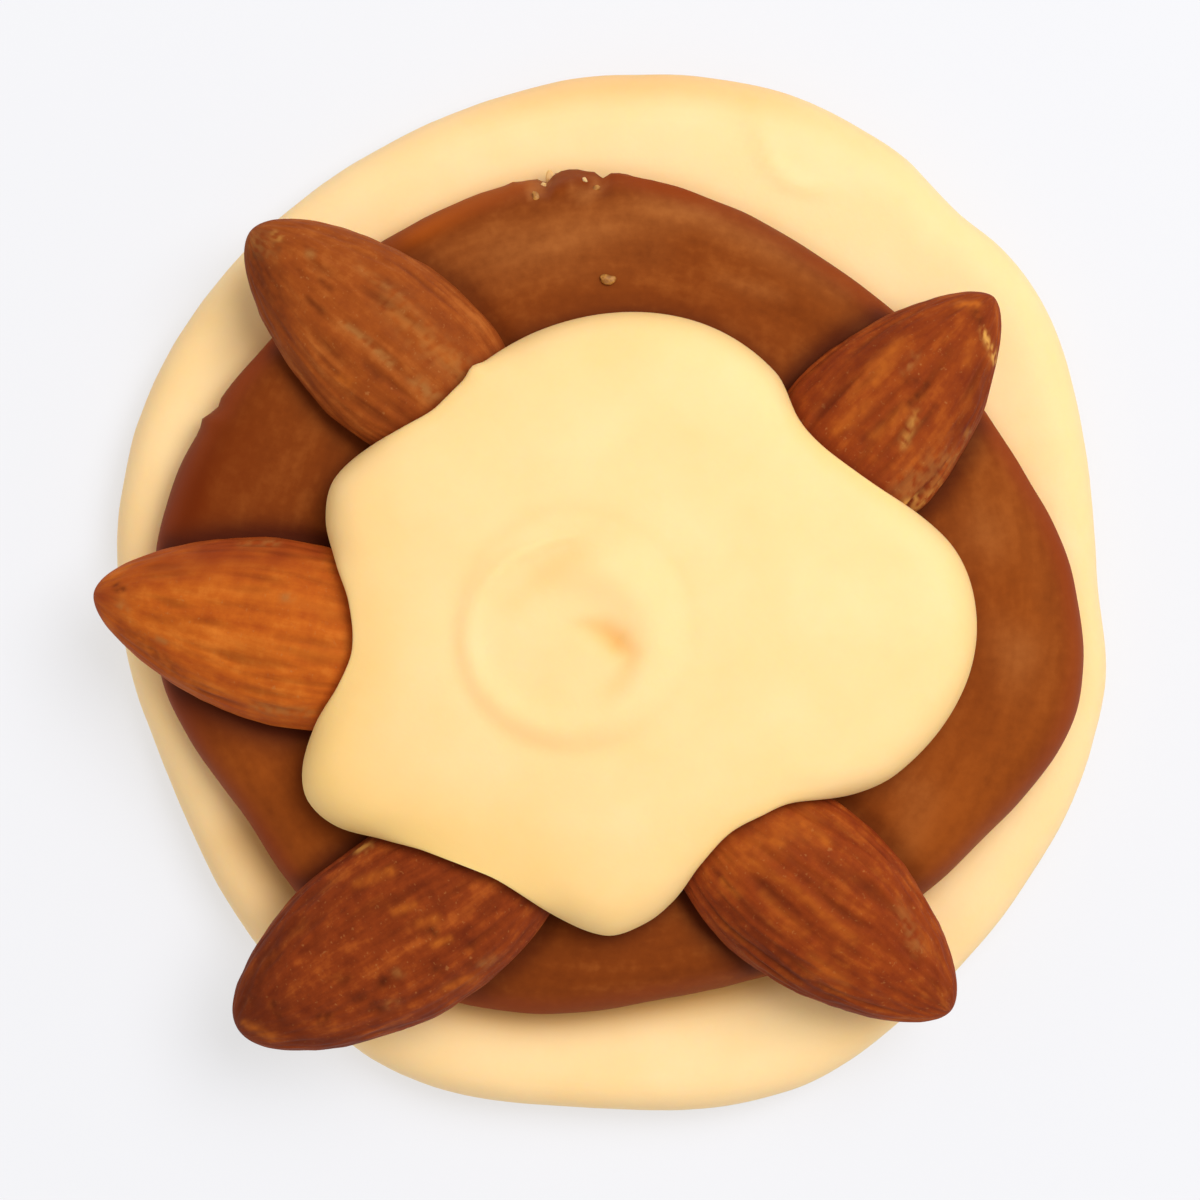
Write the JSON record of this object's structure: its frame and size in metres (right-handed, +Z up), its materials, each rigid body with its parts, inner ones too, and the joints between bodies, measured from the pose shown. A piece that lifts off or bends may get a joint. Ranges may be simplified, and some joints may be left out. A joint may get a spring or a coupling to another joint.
{
  "type": "white chocolate turtle",
  "caption": "Hand-made sweet shaped like a turtle: a caramel disc on a poured white chocolate base, whole almonds for head and feet, and a swirled white chocolate dollop for its shell.",
  "frame": {"origin": "middle of the flat underside, on the surface that the sweet lies on", "axes": "+Z up through the dollop, -X towards the head almond"},
  "size_m": [0.0711, 0.0739, 0.0193],
  "materials": {
    "white_chocolate": "satin, creamy pale yellow",
    "caramel": "soft gloss, reddish brown",
    "almond_skin": "dry and lightly wrinkled along its length"
  },
  "bodies": {
    "root": {"base": "white_chocolate", "caramel": "caramel", "dollop": "white_chocolate", "almond_head": "almond_skin", "almond_front_right": "almond_skin", "almond_front_left": "almond_skin", "almond_rear_left": "almond_skin", "almond_rear_right": "almond_skin"}
  },
  "joints": []
}
